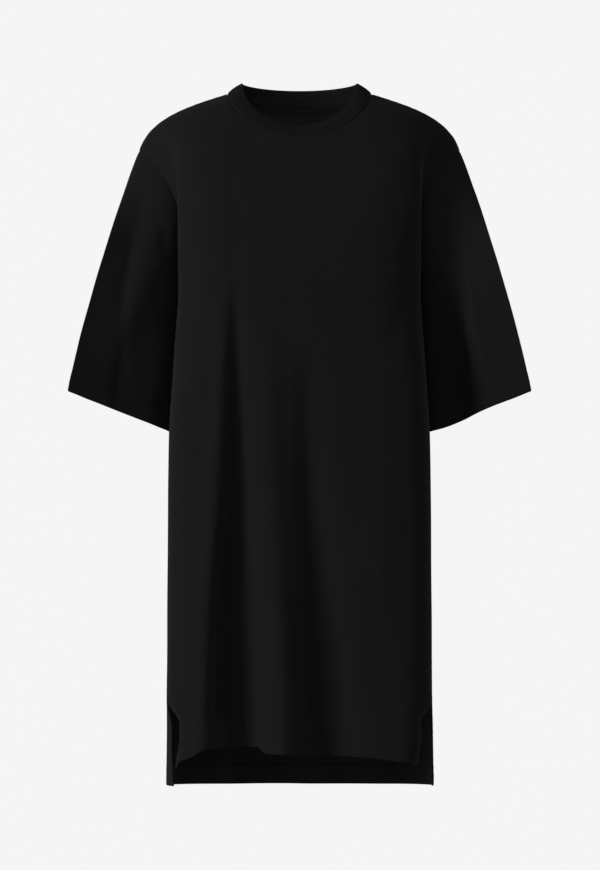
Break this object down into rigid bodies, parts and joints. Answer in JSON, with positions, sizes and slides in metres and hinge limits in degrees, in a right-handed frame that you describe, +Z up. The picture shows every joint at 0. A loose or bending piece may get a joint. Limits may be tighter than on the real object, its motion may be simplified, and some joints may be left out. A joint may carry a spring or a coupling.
{
  "type": "t-shirt dress",
  "caption": "Straight black jersey t-shirt dress with a ribbed crew neckband, drop-shoulder elbow-length sleeves, a longer back and side slits, in its worn, hollow form.",
  "frame": {"origin": "midway between the neck ends of the two shoulder seams, where the wearer's shoulders carry the dress", "axes": "+Z up, the front faces -Y, the wearer's right is at -X"},
  "size_m": [0.6326, 0.2524, 0.9594],
  "materials": {
    "front_jersey": "matte black cotton jersey",
    "back_jersey": "matte black cotton jersey",
    "right_sleeve_jersey": "matte black cotton jersey",
    "left_sleeve_jersey": "matte black cotton jersey",
    "rib_knit": "matte black rib knit",
    "neck_tape_twill": "black woven tape"
  },
  "bodies": {
    "root": {"front_panel": "front_jersey", "back_panel": "back_jersey", "sleeve_right": "right_sleeve_jersey", "sleeve_left": "left_sleeve_jersey", "neck_rib": "rib_knit", "neck_tape": "neck_tape_twill"}
  },
  "joints": []
}
